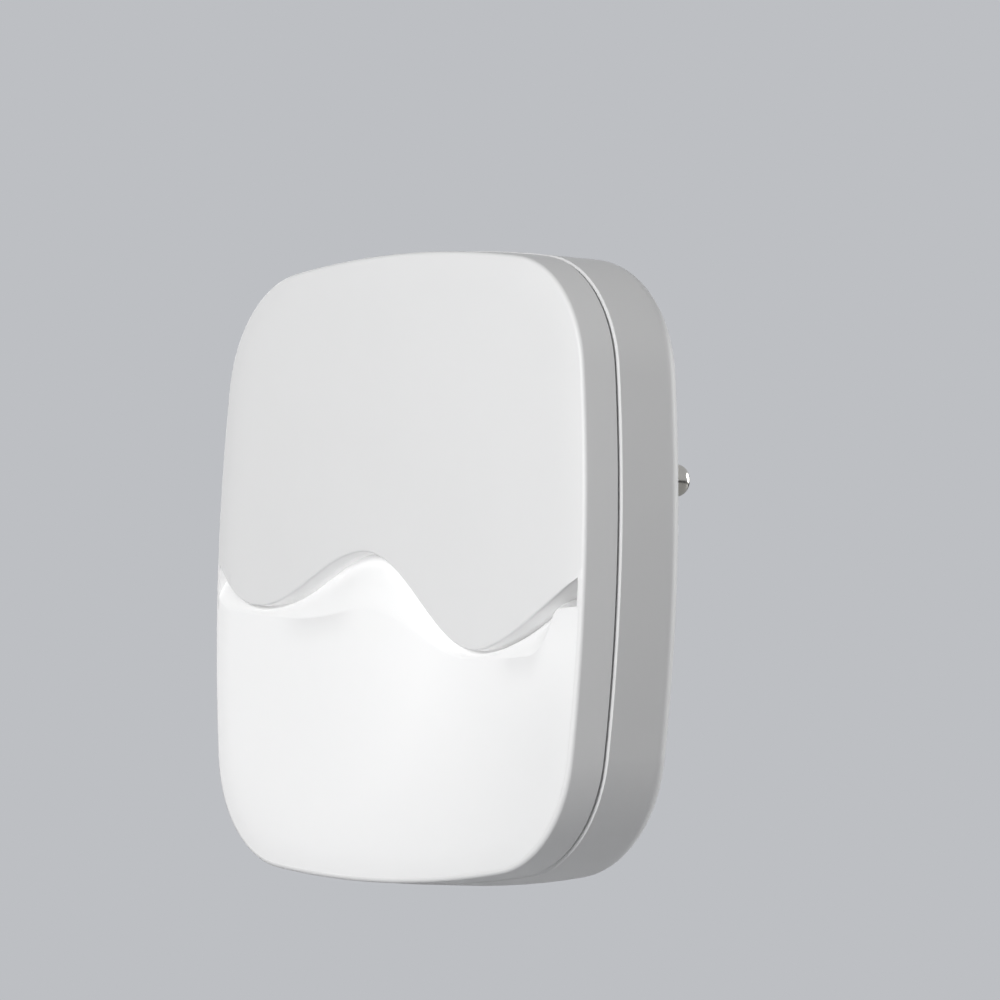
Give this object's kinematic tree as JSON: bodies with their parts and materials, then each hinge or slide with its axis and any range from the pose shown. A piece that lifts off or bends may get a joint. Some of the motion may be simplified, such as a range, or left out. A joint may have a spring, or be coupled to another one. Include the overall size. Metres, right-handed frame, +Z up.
{
  "type": "plug-in night light",
  "caption": "Squarish white night light with a stepped wave across its front that glows below it, and a two-pin plug behind.",
  "frame": {"origin": "midway between the two plug pins, on the face round them that rests on the socket", "axes": "+Y into the wall along the pins, +Z up, +X to the right as seen from the front"},
  "size_m": [0.076, 0.0369, 0.076],
  "materials": {
    "shell_white": "fine satin moulded ABS",
    "shell_white_rear": "fine satin moulded ABS",
    "opal_diffuser": "opal translucent polycarbonate, lit from behind",
    "reflector_white": "matt white moulding",
    "led_board_white": "white solder mask",
    "sensor_epoxy": "clear epoxy",
    "black_plastic": "moulded black",
    "board_green": "green solder mask",
    "capacitor_box": "moulded yellow case",
    "capacitor_sleeve": "shrink sleeve",
    "resistor_body": "lacquer coat",
    "tinned_wire": "tinned",
    "switch_steel": "plated sheet",
    "knob_white": "satin moulded",
    "retainer_plastic": "heat resistant moulding",
    "screw_steel": "zinc plated",
    "nickel_brass": "nickel plated, polished",
    "sleeve_white": "moulded insulation",
    "led_package": "white package with phosphor"
  },
  "bodies": {
    "casing": {"front_shell": "shell_white", "diffuser": "opal_diffuser", "rear_shell": "shell_white_rear", "reflector_tray": "reflector_white", "led_board": "led_board_white", "light_sensor": "sensor_epoxy", "sensor_shroud": "black_plastic", "driver_board": "board_green", "film_capacitor": "capacitor_box", "can_capacitor": "capacitor_sleeve", "bridge_rectifier": "black_plastic", "driver_chip": "black_plastic", "fuse_resistor": "resistor_body", "chip_resistors": "black_plastic", "link_wires": "tinned_wire", "switch_body": "switch_steel", "pin_retainer": "retainer_plastic", "case_screws": "screw_steel", "board_screws": "screw_steel", "plug_pin_left": "nickel_brass", "plug_pin_right": "nickel_brass", "pin_sleeve_left": "sleeve_white", "pin_sleeve_right": "sleeve_white", "led_1": "led_package", "led_2": "led_package", "led_3": "led_package", "led_4": "led_package", "led_5": "led_package", "led_6": "led_package"},
    "slider": {"switch_knob": "knob_white", "switch_lever": "black_plastic"}
  },
  "joints": [
    {"name": "switch_slide", "type": "slide", "parent": "casing", "child": "slider", "axis": [0, 0, 1], "range_m": [-0.002, 0.002]}
  ]
}
